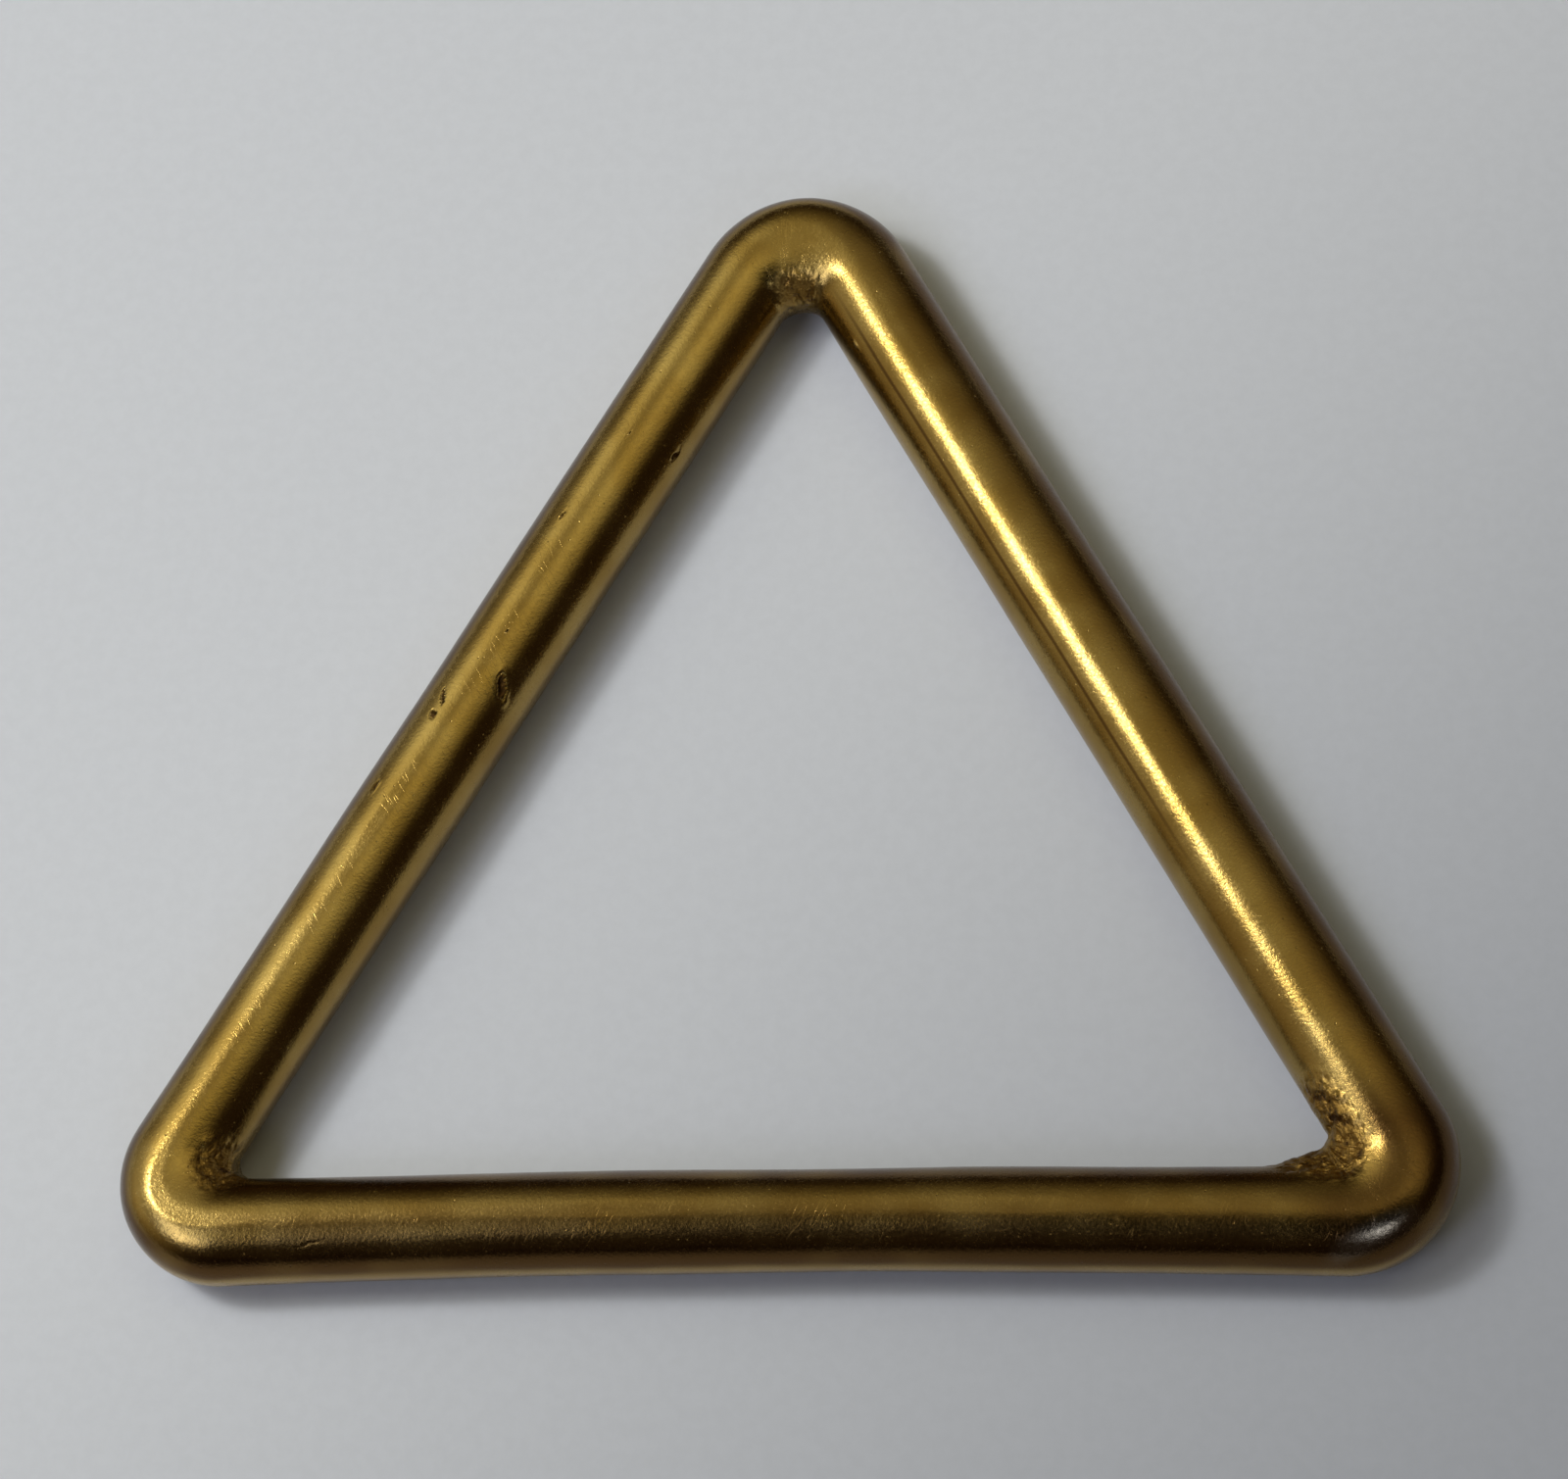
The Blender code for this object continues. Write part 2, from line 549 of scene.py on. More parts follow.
@dataclass(frozen=True)
class BrassFinish:
    """Polished brass with a soft wear, fine grain, pits and scratches, and rough brown crevices.

    Lengths, heights and depths are in millimetres, as are the waves of the clouds. The flanks, the
    hollows of the rough skin and the pits carry painted shade, and the right bar's inner side a painted
    dark reflection line, which lies at a distance round the section, between a start and an end along the
    ring.
    """

    bright: Colour = (0.47, 0.325, 0.098, 1.0)
    deep: Colour = (0.38, 0.245, 0.062, 1.0)
    crevice: Colour = (0.33, 0.195, 0.045, 1.0)
    # The colour of the painted shade and of the painted dark reflection line
    painted_dark: Colour = (0.11, 0.058, 0.018, 1.0)
    bare: Colour = (0.46, 0.42, 0.34, 1.0)
    polish: float = 0.18
    grain_dulling: float = 0.10
    mottle_dulling: float = 0.03
    crevice_roughness: float = 0.42

    mottle: Clouds = (0.3, 3.0, 0.5)
    mottle_tinted: Span = (0.35, 0.65)
    mottle_dulled: Span = (0.4, 0.7)
    grain: Clouds = (7.0, 3.0, 0.6)
    grain_dulled: Span = (0.35, 0.75)
    grain_height: float = 0.010
    fine_grain: Clouds = (16.0, 2.0, 0.6)
    fine_height: float = 0.003
    clumps: Clouds = (1.7, 3.0, 0.6)
    # Where the clumps are low, the rough skin gets painted shade
    clump_hollows: Span = (0.48, 0.34)
    clump_height: float = 0.22

    scratch_turn: float = math.radians(20)
    scratch_stretch: Direction = (3.2, 0.45, 1.0)
    scratch_lines: Clouds = (1.0, 1.0, 0.4)
    scratch_width: Span = (0.012, 0.0)
    scratch_places: Clouds = (0.45, 1.0, 0.5)
    scratch_chosen: Span = (0.52, 0.62)
    scratch_depth: float = 0.002

    reflection_line_around: float = 8.95
    reflection_line_wobble: float = 0.16
    reflection_line_bends: Clouds = (0.15, 1.0, 0.5)
    reflection_line_width: Span = (0.12, 0.03)
    reflection_line_start: Span = (84.0, 92.0)
    reflection_line_end: Span = (112.0, 108.0)
    reflection_line_share: float = 0.85

    pit_cells: float = 2.2
    pit_chosen: Span = (0.56, 0.60)
    pit_width: Span = (0.13, 0.04)
    pit_depth: float = 0.012

    def material(self) -> bpy.types.Material:
        """Builds the material.

        Returns:
            The brass material.
        """
        material, board, shader = start_material("worn_brass")
        shader.inputs["Metallic"].default_value = 1.0

        coords = board.add("TexCoord")
        place = board.vector("MULTIPLY", coords.outputs["Object"], TO_MM).outputs["Vector"]
        track = board.vector("MULTIPLY", coords.outputs["UV"], TO_MM).outputs["Vector"]
        rough_skin = board.add("Attribute", attribute_name="crevice").outputs["Fac"]
        rubbed = board.add("Attribute", attribute_name="rubbed").outputs["Fac"]
        painted_shade = board.add("Attribute", attribute_name="painted_shade").outputs["Fac"]

        mottle = board.clouds(place, *self.mottle)
        grain = board.clouds(place, *self.grain)
        fine_grain = board.clouds(place, *self.fine_grain)
        clumps = board.clouds(place, *self.clumps)

        colour = board.tint(board.spread(mottle, *self.mottle_tinted), self.deep, self.bright)
        colour = board.tint(rough_skin, colour, self.crevice)
        # Painted shade in the hollows of the rough skin, where the clumps are low
        hollow_shade = board.product(rough_skin, board.spread(clumps, *self.clump_hollows))
        colour = board.tint(hollow_shade, colour, self.painted_dark)
        # Painted shade: dark reflections on the flanks and the outer halves of the bars, and shade in the
        # pits
        colour = board.tint(painted_shade, colour, self.painted_dark)
        colour = board.tint(rubbed, colour, self.bare)
        # A painted dark reflection line along the right bar's inner side
        colour = board.tint(self.painted_reflection_line(board, track, place), colour, self.painted_dark)
        board.feed(shader.inputs["Base Color"], colour)

        roughness = board.total(
            board.spread(grain, *self.grain_dulled, 0.0, self.grain_dulling),
            board.spread(mottle, *self.mottle_dulled, 0.0, self.mottle_dulling),
            self.polish,
            board.product(rough_skin, self.crevice_roughness - self.polish),
        )
        board.feed(shader.inputs["Roughness"], roughness)

        bump = board.add("Bump")
        bump.inputs["Strength"].default_value = 1.0
        bump.inputs["Distance"].default_value = MM
        height = board.total(
            board.product(grain, self.grain_height),
            board.product(fine_grain, self.fine_height),
            self.scratches(board, track),
            self.pits(board, place),
            board.product(rough_skin, clumps, self.clump_height),
        )
        board.feed(bump.inputs["Height"], height)
        board.feed(shader.inputs["Normal"], bump.outputs["Normal"])
        return material

    def scratches(self, board: NodeBoard, track: bpy.types.NodeSocket) -> bpy.types.NodeSocket:
        """Draws sparse short scratches, mostly across the bars.

        Args:
            board: The material's board.
            track: Millimetres along and round the ring.

        Returns:
            The scratches' height in millimetres.
        """
        turned = board.add("VectorRotate", rotation_type="Z_AXIS")
        board.feed(turned.inputs["Vector"], track)
        board.feed(turned.inputs["Angle"], self.scratch_turn)
        stretched = board.vector("MULTIPLY", turned.outputs["Vector"], self.scratch_stretch).outputs["Vector"]
        lines = board.clouds(stretched, *self.scratch_lines)
        off_middle = board.sum("ABSOLUTE", board.sum("SUBTRACT", lines, 0.5))
        line = board.spread(off_middle, *self.scratch_width)
        few = board.spread(board.clouds(track, *self.scratch_places), *self.scratch_chosen)
        return board.product(line, few, -self.scratch_depth)

    def painted_reflection_line(
        self, board: NodeBoard, track: bpy.types.NodeSocket, place: bpy.types.NodeSocket
    ) -> bpy.types.NodeSocket:
        """Paints the thin dark reflection line along the right bar's inner side.

        Args:
            board: The material's board.
            track: Millimetres along and round the ring.
            place: Millimetres on the piece.

        Returns:
            How dark the line is, from 0 to 1.
        """
        parts = board.add("SeparateXYZ")
        board.feed(parts.inputs["Vector"], track)
        along, around = parts.outputs["X"], parts.outputs["Y"]
        wobble = board.product(board.clouds(place, *self.reflection_line_bends), self.reflection_line_wobble)
        middle = self.reflection_line_around + self.reflection_line_wobble / 2
        offset = board.sum("SUBTRACT", board.total(around, wobble), middle)
        line = board.spread(board.sum("ABSOLUTE", offset), *self.reflection_line_width)
        stretch = board.product(board.spread(along, *self.reflection_line_start), board.spread(along, *self.reflection_line_end))
        return board.product(line, stretch, self.reflection_line_share)

    def pits(self, board: NodeBoard, place: bpy.types.NodeSocket) -> bpy.types.NodeSocket:
        """Scatters tiny pits.

        Args:
            board: The material's board.
            place: Millimetres on the piece.

        Returns:
            The pits' height in millimetres.
        """
        cells = board.add("TexVoronoi", feature="F1")
        board.feed(cells.inputs["Vector"], place)
        cells.inputs["Scale"].default_value = self.pit_cells
        chosen = board.spread(cells.outputs["Color"], *self.pit_chosen)
        hole = board.spread(cells.outputs["Distance"], *self.pit_width)
        return board.product(hole, chosen, -self.pit_depth)


@dataclass(frozen=True)
class TriangleRing:
    """The ring itself: three round bars and three corners, cast in one piece."""

    opening_side: float = 51.5 * MM
    thickness: float = 4.7 * MM
    land_width: float = 1.4 * MM
    outer_lean: float = 0.30
    lean_change: Span = (0.05, -0.6)
    section_points: int = 104
    corner_steps: int = 72
    bar_steps: int = 124
    section_crowding: float = 0.3
    fine_roughness: float = 0.1
    fine_cuts: int = 2
    track_sides: float = 3.24
    waviness: float = 0.05 * MM
    wave_length: float = 9.0 * MM
    ripple: float = 0.006 * MM
    ripple_length: float = 1.3 * MM
    ripple_layers: Layers = (1.0, 2.0, 2)
    rough: RoughSizes = RoughSizes()
    painted_shade: PaintedShadeSizes = PaintedShadeSizes()
    rubbed: RubbedSizes = RubbedSizes()

    @property
    def reach(self) -> float:
        """The distance from the middle of the opening to each of its sides."""
        return self.opening_side / (2 * math.sqrt(3))

    @property
    def span(self) -> int:
        """How many steps a corner and the bar after it have."""
        return self.corner_steps + self.bar_steps

    @property
    def steps(self) -> int:
        """How many stations there are once round the ring."""
        return len(Bar) * self.span

    def corner_at(self, corner: Corner, turned: float) -> Station:
        """Finds a station in a corner.

        Args:
            corner: The corner.
            turned: The share of the corner's turn, from 0 to 1.

        Returns:
            The station there.
        """
        before, after = corner.value
        sizes = CORNER_SIZES[corner]
        start, end = before.value, after.value
        if end < start:
            end += 2 * math.pi
        inner_reach = self.reach - sizes.inner_radius
        outer_reaches = [self.reach + BAR_SIZES[bar].width - sizes.outer_radius for bar in corner.value]
        inner_centre = meeting_point(before.outwards, inner_reach, after.outwards, inner_reach)
        outer_centre = meeting_point(before.outwards, outer_reaches[0], after.outwards, outer_reaches[1])
        facing = level(start + (end - start) * turned)
        share = math.sin(math.pi * turned) ** 2
        return Station(
            inner=inner_centre + facing * sizes.inner_radius,
            outer=outer_centre + facing * sizes.outer_radius,
            inner_lean=sizes.inner_lean * share,
            outer_lean=self.outer_lean * share,
        )

    def bar_at(self, bar: Bar, along: float) -> Station:
        """Finds a station on a bar.

        Args:
            bar: The bar.
            along: The share of the bar's length, from 0 to 1.

        Returns:
            The station there.
        """
        corners = list(Corner)
        place = list(Bar).index(bar)
        first = self.corner_at(corners[place], 1.0)
        last = self.corner_at(corners[(place + 1) % len(corners)], 0.0)
        swell = 4 * along * (1 - along)
        bow = bar.outwards * BAR_SIZES[bar].bow * swell
        slimming = bar.outwards * BAR_SIZES[bar].waist * swell / 2
        return Station(
            inner=first.inner.lerp(last.inner, along) - bow + slimming,
            outer=first.outer.lerp(last.outer, along) - bow - slimming,
        )

    def station_at(self, step: float) -> Station:
        """Finds the station at a step, counted once round the ring from the left corner's start.

        Args:
            step: The step, which may lie between two whole ones.

        Returns:
            The station there.
        """
        place = int(step // self.span) % len(Bar)
        rest = step % self.span
        if rest < self.corner_steps:
            return self.corner_at(list(Corner)[place], rest / self.corner_steps)
        return self.bar_at(list(Bar)[place], (rest - self.corner_steps) / self.bar_steps)

    def section_point(self, station: Station, angle: float) -> Vector:
        """Finds a point of the bar's round section.

        Args:
            station: The station of the section.
            angle: The angle round the section: 0 underneath, a quarter turn outside, half a turn on top.

        Returns:
            The point, in the plane and height of the ring, with the middle of the opening as origin.
        """
        width = (station.outer - station.inner).length
        land_angle = math.asin(self.land_width / width)
        half_height = self.thickness / (1 + math.cos(land_angle))
        side = math.sin(angle)
        inwards = ease(side, *self.lean_change)
        lean = station.outer_lean + (station.inner_lean - station.outer_lean) * inwards
        across = (1 + side) / (2 - lean + side * lean)
        point = station.inner.lerp(station.outer, across)
        point.z = max(0.0, self.thickness - half_height - half_height * math.cos(angle))
        return point

    def plain_point(self, step: float, angle: float, stations: dict[float, Station]) -> Vector:
        """Finds a point of the plain form.

        Args:
            step: The step round the ring.
            angle: The angle round the section.
            stations: The stations that are known so far; a new one is added.

        Returns:
            The point, with the middle of the opening as origin.
        """
        key = round(step, 3)
        if key not in stations:
            stations[key] = self.station_at(key)
        return self.section_point(stations[key], angle)

    @cached_property
    def tips(self) -> dict[Corner, Vector]:
        """Finds the sharp corners of the opening.

        Returns:
            The tip of each corner, at height 0.
        """
        return {
            corner: meeting_point(corner.value[0].outwards, self.reach, corner.value[1].outwards, self.reach)
            for corner in Corner
        }

    @cached_property
    def rough_hearts(self) -> dict[Corner, Vector]:
        """Finds the middles of the rough skin in the inner corners.

        Returns:
            The middle in each corner.
        """
        hearts = {}
        for corner, sizes in CORNER_SIZES.items():
            hearts[corner] = self.tips[corner] + corner.value[1].onwards * sizes.rough_along
            hearts[corner].z = self.rough.height * self.thickness
        return hearts

    @cached_property
    def brown_heart(self) -> Vector:
        """Finds the middle of the lower right corner's crown, which carries a painted shade that stands for a
        dark reflection.

        Returns:
            The middle, at the height of the crown.
        """
        heart = self.tips[Corner.RIGHT] + level(self.painted_shade.corner_facing) * self.painted_shade.corner_out
        heart.z = self.thickness
        return heart

    @cached_property
    def rubbed_heart(self) -> Vector:
        """The middle of the worn patch."""
        return self.tips[Corner.RIGHT] + Vector(self.rubbed.spot)

    def web(self, point: Vector) -> Vector:
        """Moves a point of an inner corner to where the casting's web and uneven corner put it.

        Args:
            point: The point, with the middle of the opening as origin.

        Returns:
            The moved point.
        """
        moved = point.copy()
        for corner, sizes in CORNER_SIZES.items():
            tip = self.tips[corner]
            away = math.hypot(point.x - tip.x, point.y - tip.y)
            if away > self.rough.web_reach or sizes.web_radius == 0.0:
                continue
            depth = ease(point.z / self.thickness, *self.rough.web_depth)
            towards = tip.normalized()
            centre = tip - towards * FILLET_CENTRE * sizes.web_radius
            spoke = Vector((point.x - centre.x, point.y - centre.y, 0.0))
            inline = spoke.dot(towards)
            if spoke.length > sizes.web_radius and inline > self.rough.web_cone[0] * spoke.length:
                filled = centre + spoke * (sizes.web_radius / spoke.length)
                inside = ease((point - tip).dot(towards), *self.rough.web_fade)
                inside *= ease(inline / spoke.length, *self.rough.web_cone)
                moved += Vector((filled.x - point.x, filled.y - point.y, 0.0)) * depth * inside
            near = (1 - (away / self.rough.web_reach) ** 2) ** 2
            moved += Vector((*sizes.lift, 0.0)) * near * depth
        return moved

    def crevice_at(self, point: Vector, angle: float) -> float:
        """Finds how rough the casting's skin is left in the inner corners.

        Args:
            point: A point of the ring, with the middle of the opening as origin.
            angle: The angle round the section.

        Returns:
            A share from 0, polished, to 1, as cast.
        """
        tilt = math.degrees(angle - math.pi)
        inwards = ease(tilt, *self.rough.tilt) * (1 - self.rough.low_fade * ease(tilt, *self.rough.low_tilt))
        if inwards == 0.0:
            return 0.0
        most = 0.0
        for corner, sizes in CORNER_SIZES.items():
            away = (point - self.rough_hearts[corner]).length
            most = max(most, ease(away, sizes.rough_reach, self.rough.core * sizes.rough_reach))
        return most * inwards

    def rubbed_at(self, point: Vector) -> float:
        """Finds how far the brass colour is worn off the lower right corner's shoulder.

        Args:
            point: A point of the ring, with the middle of the opening as origin.

        Returns:
            A share from 0 to 1.
        """
        sizes = self.rubbed
        offset = point - self.rubbed_heart
        crossways = offset.y - sizes.slope * offset.x
        patch = math.hypot(offset.x / sizes.half_length, crossways / sizes.half_width)
        return sizes.most * ease(patch, *sizes.edge)

    def painted_shade_at(self, point: Vector, angle: float) -> float:
        """Finds how dark the painted shade is that stands for dark reflections on the flanks, the outer
        halves of the bars and the lower right corner's crown.

        Args:
            point: A point of the ring, with the middle of the opening as origin.
            angle: The angle round the section.

        Returns:
            A share from 0, bright, to 1, in full painted shade.
        """
        sizes = self.painted_shade
        tilt = math.degrees(math.pi - angle)
        patchy = 1 + sizes.patchiness * noise.noise(point / sizes.patch_length)
        reaches = {bar: point.dot(bar.outwards) for bar in Bar}
        base, right, left = reaches[Bar.BASE], reaches[Bar.RIGHT], reaches[Bar.LEFT]
        on_base = ease(base - left, *sizes.base_past_left) * ease(base - right, *sizes.base_past_right)
        on_right = ease(right - left, *sizes.right_past_left) * ease(right - base, *sizes.right_past_base)
        in_corner = ease((point - self.brown_heart).length, *sizes.corner_reach)
        darkened = max(
            sizes.base * on_base * ease(tilt, *sizes.base_tilt),
            sizes.right * on_right * ease(tilt, *sizes.right_tilt),
            sizes.corner * in_corner * ease(tilt, *sizes.corner_tilt),
        )
        outer = max(darkened, ease(tilt, *sizes.outer_tilt)) * (1 - sizes.low_fade * ease(tilt, *sizes.low_tilt))
        facing = max(Bar, key=reaches.get)
        inner = ease(-tilt, *sizes.inner_tilt) * BAR_SIZES[facing].inner_shade
        return min(1.0, (outer + inner) * patchy)

    def flaw_depth(self, point: Vector, hearts: list[tuple[Flaw, Vector]]) -> float:
        """Finds how far the named flaws sink the skin at a point.

        Args:
            point: A point of the ring, with the middle of the opening as origin.
            hearts: The flaws and their middles.

        Returns:
            The depth, negative where the skin rises.
        """
        total = 0.0
        for flaw, heart in hearts:
            offset = point - heart
            if offset.length > flaw.felt_reach:
                continue
            offset += noise.noise_vector(point / flaw.JITTER_LENGTH) * flaw.JITTER
            tilt = math.radians(flaw.tilt)
            round_the_bar = flaw.bar.outwards * math.cos(tilt) - Vector((0.0, 0.0, math.sin(tilt)))
            total += flaw.depth_at(offset.dot(flaw.bar.onwards), offset.dot(round_the_bar))
        return total

    def flaw_place(self, flaw: Flaw) -> Vector:
        """Finds the middle of a flaw on the plain bar.

        Args:
            flaw: The flaw.

        Returns:
            Its middle, with the middle of the opening as origin.
        """
        half_width = BAR_SIZES[flaw.bar].width / 2
        tilt = math.radians(flaw.tilt)
        out = self.reach + half_width * (1 + math.sin(tilt))
        place = flaw.bar.outwards * out + flaw.bar.onwards * flaw.along
        place.z = self.thickness / 2 * (1 + math.cos(tilt))
        return place

    def blank(self) -> bmesh.types.BMesh:
        """Spins a plain hoop, with a station for each step and a point for each place round the section.

        Returns:
            The hoop, whose section has a radius of 1 unit.
        """
        bm = bmesh.new()
        stand = Matrix.Translation((HOOP_RADIUS, 0.0, 0.0)) @ Matrix.Rotation(math.pi / 2, 4, "X")
        bmesh.ops.create_circle(bm, cap_ends=False, segments=self.section_points, radius=1.0, matrix=stand)
        bmesh.ops.spin(
            bm,
            geom=bm.verts[:] + bm.edges[:],
            cent=(0.0, 0.0, 0.0),
            axis=(0.0, 0.0, 1.0),
            angle=2 * math.pi,
            steps=self.steps,
            use_merge=True,
        )
        bmesh.ops.remove_doubles(bm, verts=bm.verts, dist=HOOP_WELD)
        return bm

    def hoop_place(self, point: Vector) -> tuple[float, float]:
        """Reads a point of the plain hoop.

        Args:
            point: The point on the hoop.

        Returns:
            Its step round the ring and its angle round the section.
        """
        step = (math.atan2(point.y, point.x) % (2 * math.pi)) / (2 * math.pi) * self.steps
        out = math.hypot(point.x, point.y) - HOOP_RADIUS
        angle = (math.atan2(point.z, out) + math.pi / 2) % (2 * math.pi)
        return step, angle + self.section_crowding * math.sin(angle)

    def refine(self, bm: bmesh.types.BMesh) -> None:
        """Divides the hoop's faces more finely where a flaw or the bars' rough skin will lie.

        Args:
            bm: The plain hoop.
        """
        hearts = [(self.flaw_place(flaw), flaw.fine_reach) for flaw in FLAWS]
        edges: dict[bmesh.types.BMEdge, None] = {}
        stations: dict[float, Station] = {}
        for face in bm.faces:
            step, angle = self.hoop_place(face.verts[0].co)
            point = self.plain_point(step, angle, stations)
            on_bar = step % self.span > self.corner_steps
            rough = on_bar and self.crevice_at(point, angle) > self.fine_roughness
            if rough or any((point - heart).length < reach for heart, reach in hearts):
                edges.update(dict.fromkeys(face.edges))
        bmesh.ops.subdivide_edges(bm, edges=list(edges), cuts=self.fine_cuts, use_grid_fill=True)

    def build(self) -> bpy.types.Object:
        """Forms the ring from the hoop and works its skin.

        Returns:
            The finished, undressed ring.
        """
        bm = self.blank()
        self.refine(bm)
        crevice = bm.verts.layers.float.new("crevice")
        rubbed = bm.verts.layers.float.new("rubbed")
        painted_shade = bm.verts.layers.float.new("painted_shade")
        self.lay_track(bm)
        stations: dict[float, Station] = {}
        for vert in bm.verts:
            step, angle = self.hoop_place(vert.co)
            vert.co = self.web(self.plain_point(step, angle, stations))
            vert[crevice] = self.crevice_at(vert.co, angle)
            vert[rubbed] = self.rubbed_at(vert.co)
            # Painted shade for dark reflections, lighter on the rough skin
            cleared = 1 - self.painted_shade.rough_fade * vert[crevice]
            vert[painted_shade] = self.painted_shade_at(vert.co, angle) * cleared
        self.face_outwards(bm)
        hearts = [(flaw, self.flaw_place(flaw)) for flaw in FLAWS]
        for vert in bm.verts:
            sunk = self.flaw_depth(vert.co, hearts)
            # Painted shade in the pits: they take the dark shade colour and the crevice colour and roughness
            pit_shade = ease(sunk, *self.painted_shade.pit_shade_depth)
            vert.co += vert.normal * (self.skin_height(vert.co, vert[crevice]) - sunk)
            vert[painted_shade] = max(vert[painted_shade], pit_shade)
            vert[crevice] = max(vert[crevice], pit_shade)
        self.settle(bm)
        piece = place_mesh("brass_ring", bm)
        piece.data.shade_smooth()
        return piece

    def face_outwards(self, bm: bmesh.types.BMesh) -> None:
        """Turns all the faces outwards.

        Args:
            bm: The formed ring.
        """
        bm.normal_update()
        bmesh.ops.recalc_face_normals(bm, faces=bm.faces)
        if bm.calc_volume(signed=True) < 0.0:
            bmesh.ops.reverse_faces(bm, faces=bm.faces)
        bm.normal_update()

    def lay_track(self, bm: bmesh.types.BMesh) -> None:
        """Lays a map on the hoop: metres along the ring and round its section.

        Args:
            bm: The plain hoop.
        """
        track = bm.loops.layers.uv.new("track")
        around = math.pi * self.thickness
        length = self.track_sides * self.opening_side
        for face in bm.faces:
            places = [self.hoop_place(loop.vert.co) for loop in face.loops]
            first_step, first_angle = places[0]
            for loop, (step, angle) in zip(face.loops, places):
                step += self.steps * round((first_step - step) / self.steps)
                angle += 2 * math.pi * round((first_angle - angle) / (2 * math.pi))
                loop[track].uv = (step / self.steps * length, angle / (2 * math.pi) * around)

    def skin_height(self, point: Vector, crevice: float) -> float:
        """Finds how far the worked skin stands off the plain form.

        Args:
            point: A point of the plain form, with the middle of the opening as origin.
            crevice: How rough the skin is left there.

        Returns:
            The height, negative where the skin sinks.
        """
        wave = noise.noise(point / self.wave_length) * self.waviness
        ripple = noise.fractal(point / self.ripple_length, *self.ripple_layers) * self.ripple
        lumps = noise.fractal(point / self.rough.lump_length, *self.rough.lump_layers)
        return wave + ripple + lumps * self.rough.lump_height * crevice

    def settle(self, bm: bmesh.types.BMesh) -> None:
        """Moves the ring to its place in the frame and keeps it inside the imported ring's box.

        Args:
            bm: The formed ring, with the middle of the opening as origin.
        """
        lowest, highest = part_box(NODE)
        outline = [self.station_at(step).outer for step in range(self.steps)]
        middle_x = (min(p.x for p in outline) + max(p.x for p in outline)) / 2
        middle_y = (min(p.y for p in outline) + max(p.y for p in outline)) / 2
        shift = (lowest + highest) / 2 - Vector((middle_x, middle_y, 0.0))
        bmesh.ops.translate(bm, verts=bm.verts, vec=(shift.x, shift.y, lowest.z))
        for vert in bm.verts:
            vert.co = Vector(max(low, min(high, value)) for low, value, high in zip(lowest, vert.co, highest))

    def dress(self, piece: bpy.types.Object, finish: BrassFinish) -> None:
        """Gives the ring its finish and its place in the frame.

        Args:
            piece: The ring.
            finish: Its finish.
        """
        piece.data.materials.append(finish.material())
        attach(piece, "root")
        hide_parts(NODE)


@dataclass(frozen=True)
class TableTop:
    """The plain pale table top that the ring lies on.

    Its colour is a painted shade, falling from lit to shaded along a level direction near the ring, and is
    pale again far away.
    """

    side: float = 3.0
    drop: float = 0.01 * MM
    lit: Colour = (0.652, 0.682, 0.725, 1.0)
    shaded: Colour = (0.365, 0.385, 0.425, 1.0)
    fall_direction: Direction = (0.72, -0.69, 0.0)
    fall: Span = (-18.0 * MM, 62.0 * MM)
    pale_again: Span = (200.0 * MM, 80.0 * MM)
    roughness: float = 0.75
    specular: float = 0.1
    flecks: Clouds = (1.4, 3.0, 0.6)
    fleck_range: Span = (0.3, 0.7)
    fleck_tints: tuple[float, float] = (0.985, 1.015)

    def build(self) -> bpy.types.Object:
        """Lays the table top.

        Returns:
            The table top.
        """
        bm = bmesh.new()
        bmesh.ops.create_grid(bm, x_segments=1, y_segments=1, size=self.side / 2)
        bmesh.ops.translate(bm, verts=bm.verts, vec=(0.0, 0.0, -self.drop))
        floor = place_mesh("table_top", bm)
        floor.data.materials.append(self.material())
        return floor

    def material(self) -> bpy.types.Material:
        """Builds the smooth pale finish, with a painted shade that falls off to the lower right.

        Returns:
            The table top's material.
        """
        material, board, shader = start_material("pale_table")
        shader.inputs["Roughness"].default_value = self.roughness
        shader.inputs["Specular IOR Level"].default_value = self.specular
        coords = board.add("TexCoord").outputs["Object"]
        along_fall = board.vector("DOT_PRODUCT", coords, self.fall_direction).outputs["Value"]
        away = board.vector("LENGTH", coords).outputs["Value"]
        # Painted shade pooled towards the lower right, fading out far away
        share = board.product(board.spread(along_fall, *self.fall), board.spread(away, *self.pale_again))
        colour = board.tint(share, self.lit, self.shaded)
        place = board.vector("MULTIPLY", coords, TO_MM).outputs["Vector"]
        fleck = board.spread(board.clouds(place, *self.flecks), *self.fleck_range, *self.fleck_tints)
        colour = board.vector("MULTIPLY", colour, fleck).outputs["Vector"]
        board.feed(shader.inputs["Base Color"], colour)
        return material


@dataclass(frozen=True)
class Panel:
    """A soft bright panel of the surrounding light.

    It lies in a direction from the ring, is full inside its core angle and fades out at its edge
    angle, in degrees.
    """

    direction: Direction
    core: float
    edge: float
    colour: tuple[float, float, float]


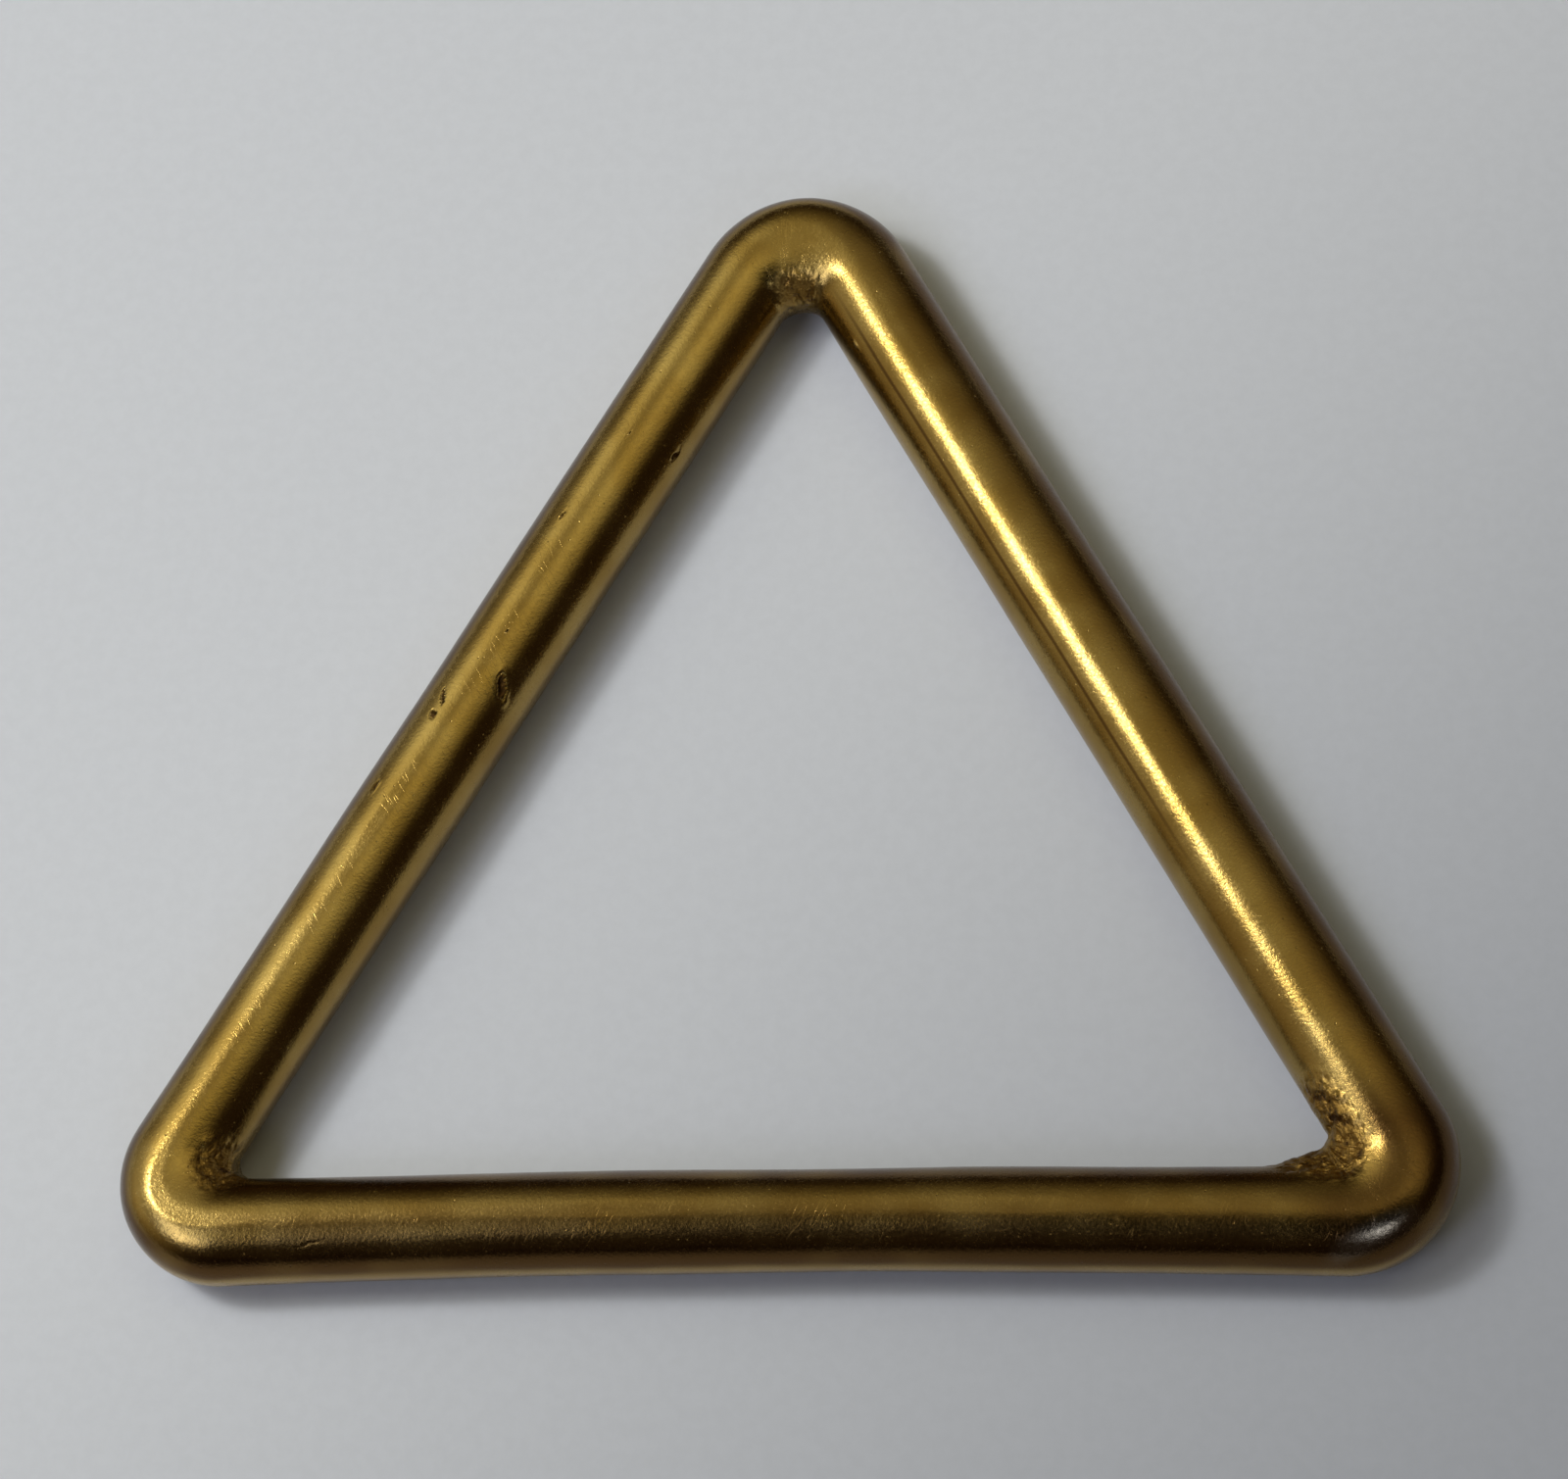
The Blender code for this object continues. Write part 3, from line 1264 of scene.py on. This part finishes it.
PANELS = (
    # A broad warm ceiling with two brighter parts
    Panel((0.05, 0.32, 0.95), core=0, edge=62, colour=(0.34, 0.315, 0.21)),
    Panel((0.15, 0.15, 0.98), core=6, edge=20, colour=(0.22, 0.21, 0.13)),
    Panel((0.40, 0.12, 0.90), core=8, edge=28, colour=(0.28, 0.26, 0.15)),
    # Pale walls to the left and behind
    Panel((-0.85, 0.28, 0.45), core=5, edge=42, colour=(0.44, 0.43, 0.38)),
    Panel((-0.50, 0.45, 0.74), core=4, edge=26, colour=(0.80, 0.80, 0.64)),
    # Two small cold lights to the left, with a soft glow beside them
    Panel((-0.48, -0.22, 0.85), core=2, edge=9, colour=(4.4, 4.6, 5.8)),
    Panel((-0.47, -0.48, 0.74), core=3, edge=13, colour=(4.4, 4.6, 5.8)),
    Panel((-0.33, -0.33, 0.885), core=4, edge=13, colour=(0.75, 0.78, 0.70)),
    # Dim warm walls low on the left and on the right
    Panel((-0.92, -0.30, 0.26), core=10, edge=40, colour=(0.22, 0.18, 0.10)),
    Panel((0.50, 0.42, 0.76), core=5, edge=40, colour=(0.09, 0.07, 0.04)),
)

# A small light on the viewer's side, which the shade there doesn't dim
CATCH_LIGHT = Panel((0.29, -0.69, 0.66), core=2, edge=9, colour=(2.8, 3.0, 3.4))


@dataclass(frozen=True)
class Lamp:
    """A round lamp over the table, and whether polished metal mirrors it."""

    name: str
    direction: Direction
    distance: float
    size: float
    power: float
    mirrored: bool = True

    def hang(self) -> None:
        """Hangs the lamp, turned to the ring."""
        data = bpy.data.lights.new(self.name, "AREA")
        data.shape = "DISK"
        data.size = self.size
        data.energy = self.power
        lamp = bpy.data.objects.new(self.name, data)
        towards = Vector(self.direction).normalized()
        turn = towards.to_track_quat("Z", "Y").to_matrix().to_4x4()
        lamp.matrix_world = Matrix.Translation(towards * self.distance) @ turn
        lamp.visible_glossy = self.mirrored
        bpy.context.scene.collection.objects.link(lamp)


LAMPS = (
    Lamp("upper_left_lamp", (-0.54, 0.13, 0.832), distance=0.40, size=0.060, power=0.30),
    Lamp("soft_overhead", (-0.52, 0.10, 0.848), distance=0.40, size=0.170, power=0.50, mirrored=False),
)


@dataclass(frozen=True)
class Studio:
    """The soft light round the ring: the lamps, pale panels and a dim warm room."""

    room: tuple[float, float, float] = (0.036, 0.024, 0.016)
    shade_direction: Direction = (0.16, -0.42, 0.89)
    shade_core: float = 14.0
    shade_edge: float = 33.0
    shade_depth: float = 0.92

    def light_room(self) -> None:
        """Hangs the lamps, lights the room with the panels and shades the viewer's side."""
        for lamp in LAMPS:
            lamp.hang()
        world = bpy.data.worlds.new("studio")
        bpy.context.scene.world = world
        world.use_nodes = True
        board = NodeBoard(world.node_tree)
        out = board.add("OutputWorld")
        back = board.add("Background")
        board.feed(out.inputs["Surface"], back.outputs["Background"])
        towards = board.add("TexCoord").outputs["Generated"]
        total: object = self.room
        for panel in PANELS:
            total = self.add_panel(board, towards, panel, total)
        nearness = self.lobe(board, towards, self.shade_direction, self.shade_core, self.shade_edge)
        shade = board.sum("MULTIPLY_ADD", nearness, -self.shade_depth, 1.0)
        total = board.vector("MULTIPLY", total, shade).outputs["Vector"]
        total = self.add_panel(board, towards, CATCH_LIGHT, total)
        board.feed(back.inputs["Color"], total)

    def add_panel(
        self, board: NodeBoard, towards: bpy.types.NodeSocket, panel: Panel, total: object
    ) -> bpy.types.NodeSocket:
        """Adds one panel to the light so far.

        Args:
            board: The world's board.
            towards: The direction looked in.
            panel: The panel to add.
            total: The light so far.

        Returns:
            The light with the panel.
        """
        glow = self.lobe(board, towards, panel.direction, panel.core, panel.edge)
        scaled = board.vector("MULTIPLY", panel.colour, glow).outputs["Vector"]
        return board.vector("ADD", total, scaled).outputs["Vector"]

    def lobe(
        self, board: NodeBoard, towards: bpy.types.NodeSocket, direction: Direction, core: float, edge: float
    ) -> bpy.types.NodeSocket:
        """Makes a soft round spot.

        Args:
            board: The world's board.
            towards: The direction looked in.
            direction: The spot's middle.
            core: The angle within which it is full, in degrees.
            edge: The angle at which it ends, in degrees.

        Returns:
            The socket of the spot's strength, 0 outside it and 1 in its core.
        """
        unit = tuple(Vector(direction).normalized())
        nearness = board.vector("DOT_PRODUCT", towards, unit).outputs["Value"]
        away = board.sum("ARCCOSINE", nearness)
        return board.spread(away, math.radians(edge), math.radians(core))


@dataclass(frozen=True)
class Viewpoint:
    """The camera: where it aims, how far away it is and how it is turned, in degrees."""

    aim: Direction = (-0.7 * MM, -0.1 * MM, 0.0)
    distance: float = 231.9 * MM
    azimuth: float = 21.83
    elevation: float = 67.72
    roll: float = -21.73
    focal_pixels: float = 5000.0
    frame_width: float = 1600.0
    sensor_width: float = 36.0
    clip_start: float = 10.0 * MM

    def place(self) -> None:
        """Sets up the camera and makes it the scene's own."""
        data = bpy.data.cameras.new("viewpoint")
        data.sensor_width = self.sensor_width
        data.lens = self.focal_pixels / self.frame_width * self.sensor_width
        data.clip_start = self.clip_start
        camera = bpy.data.objects.new("viewpoint", data)
        turn = Matrix.Rotation(math.radians(self.azimuth), 4, "Z")
        turn = turn @ Matrix.Rotation(math.radians(90 - self.elevation), 4, "X")
        turn = turn @ Matrix.Rotation(math.radians(self.roll), 4, "Z")
        back = Matrix.Translation((0.0, 0.0, self.distance))
        camera.matrix_world = Matrix.Translation(self.aim) @ turn @ back
        bpy.context.scene.collection.objects.link(camera)
        bpy.context.scene.camera = camera


def main() -> None:
    """Builds and dresses the ring, lays the table top and sets the light and the camera."""
    logging.basicConfig(level=logging.INFO, format="%(name)s: %(message)s")
    bpy.context.scene.view_settings.view_transform = "Standard"
    noise.seed_set(SEED)
    ring = TriangleRing()
    piece = ring.build()
    ring.dress(piece, BrassFinish())
    LOG.info("%s: %d faces", piece.name, len(piece.data.polygons))
    floor = TableTop().build()
    LOG.info("%s: stage", floor.name)
    Studio().light_room()
    Viewpoint().place()


if __name__ == "__main__":
    main()
